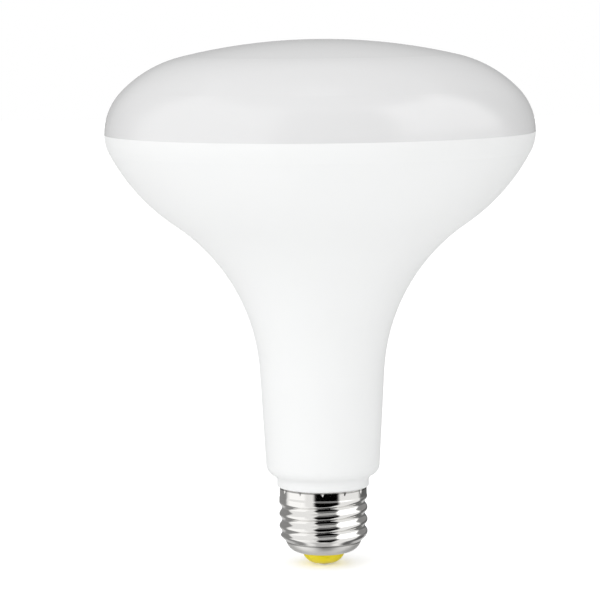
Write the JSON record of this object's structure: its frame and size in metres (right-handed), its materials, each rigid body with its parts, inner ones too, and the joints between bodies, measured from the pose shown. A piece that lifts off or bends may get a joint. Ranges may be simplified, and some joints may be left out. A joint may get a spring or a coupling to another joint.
{
  "type": "reflector bulb",
  "caption": "Reflector lamp with a domed white diffuser, a flared white housing that narrows to a neck, and a threaded metal screw cap with an end contact.",
  "frame": {"origin": "centre of the end contact's face, the lowest point of the lamp", "axes": "+Z along the lamp's axis from the contact up to the diffuser, -Y towards the camera of the picture"},
  "size_m": [0.127, 0.127, 0.1565],
  "materials": {
    "diffuser_lens": "satin moulded diffuser plastic, white",
    "housing": "smooth moulded plastic, white",
    "screw_shell": "bright nickel plate on rolled sheet",
    "base_insulator": "smooth plastic, yellow",
    "centre_contact": "plated rivet head"
  },
  "bodies": {
    "root": {"diffuser_lens": "diffuser_lens", "housing": "housing", "screw_shell": "screw_shell", "base_insulator": "base_insulator", "centre_contact": "centre_contact"}
  },
  "joints": []
}
